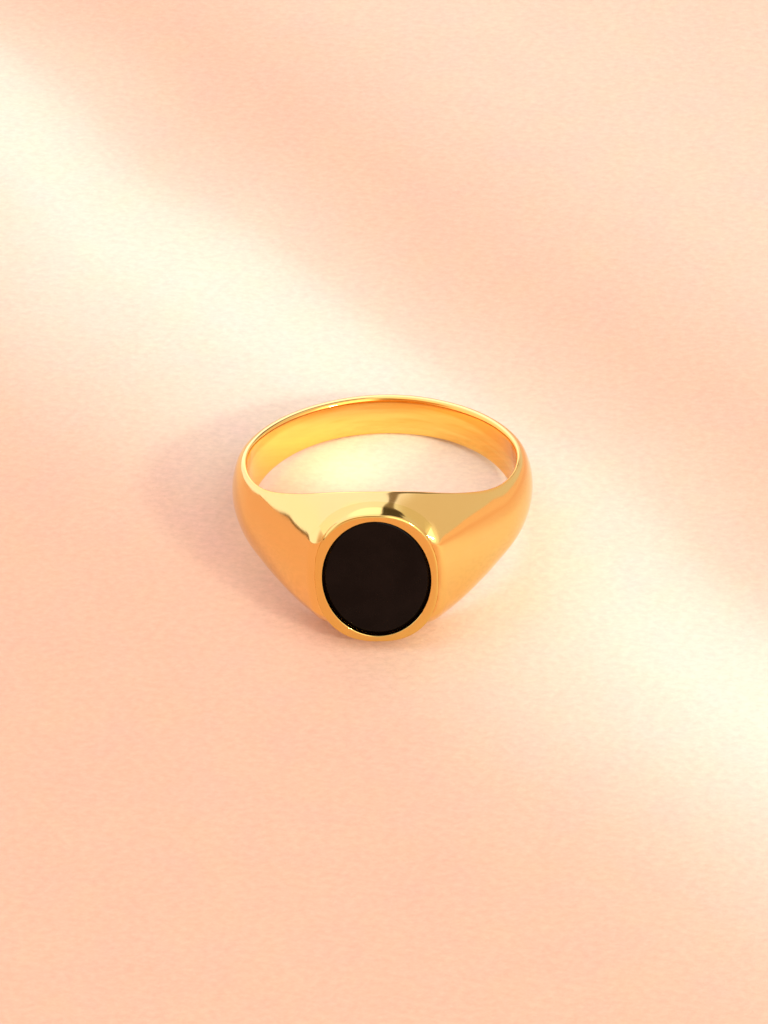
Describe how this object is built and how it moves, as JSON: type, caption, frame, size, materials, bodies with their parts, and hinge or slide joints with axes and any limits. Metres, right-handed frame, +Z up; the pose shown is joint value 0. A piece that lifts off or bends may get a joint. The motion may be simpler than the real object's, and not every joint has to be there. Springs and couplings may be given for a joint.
{
  "type": "signet ring",
  "caption": "Polished yellow-gold finger ring whose tapering shoulders rise to an upright oval collar that holds a flat black onyx tablet.",
  "frame": {"origin": "centre of the footprint at the lowest point, with the ring lying on its side", "axes": "+Z up; the oval table faces -Y and a little up; +X across the finger hole; the finger axis leans 11.5 degrees from +Z towards +Y"},
  "size_m": [0.0224, 0.0248, 0.0116],
  "materials": {
    "gold_band": "high polish yellow gold",
    "gold_collar": "high polish yellow gold",
    "gold_inner": "unpolished yellow gold inside the setting",
    "cement": "cured setting cement",
    "onyx": "polished opaque black stone"
  },
  "bodies": {
    "root": {"shank": "gold_band", "bezel_collar": "gold_collar", "bezel_base": "gold_inner", "bearing_ring": "gold_inner", "cement_bed": "cement", "onyx_tablet": "onyx"}
  },
  "joints": []
}
